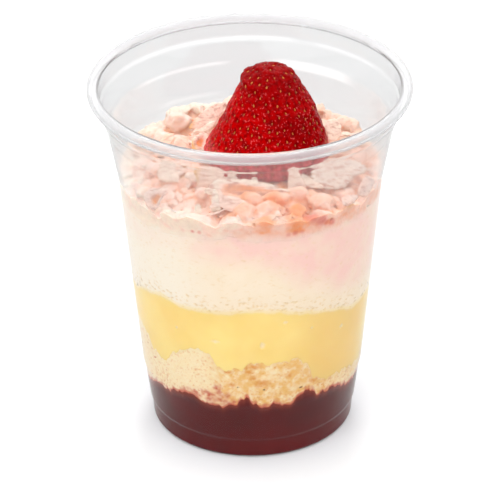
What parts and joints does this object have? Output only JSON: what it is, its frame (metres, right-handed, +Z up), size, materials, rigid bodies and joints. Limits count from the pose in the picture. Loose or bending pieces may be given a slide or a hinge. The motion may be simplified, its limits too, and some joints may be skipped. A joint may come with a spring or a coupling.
{
  "type": "layered strawberry dessert in a clear cup",
  "caption": "Layered dessert of berry jelly, sponge, custard and cream in a clear cup, topped with shavings and a cut strawberry.",
  "frame": {"origin": "middle of the cup's flat base, on the surface that it stands on", "axes": "+Z up along the cup's axis, -Y towards the side that the picture shows, +X to its right"},
  "size_m": [0.098, 0.098, 0.1173],
  "materials": {
    "clear_plastic": "clear thin pressed plastic, glossy",
    "berry_jelly": "dark red jelly, glossy and slightly see-through",
    "sponge": "moist cream-coloured cake crumb, rough",
    "custard": "smooth pale yellow custard, satin",
    "vanilla_cream": "ivory whipped cream with fine pores",
    "strawberry_cream": "soft pink whipped cream",
    "shavings": "pink, peach and ivory shavings, curls and crumbs, satin",
    "strawberry": "glossy deep red fruit with tan seeds",
    "pale_flake": "pale ivory flake, satin"
  },
  "bodies": {
    "root": {"clear_cup": "clear_plastic", "berry_jelly": "berry_jelly", "sponge": "sponge", "custard": "custard", "vanilla_cream": "vanilla_cream", "strawberry_cream": "strawberry_cream", "shavings_heap": "shavings", "strawberry": "strawberry", "wide_flake": "pale_flake", "long_shaving": "pale_flake"}
  },
  "joints": []
}
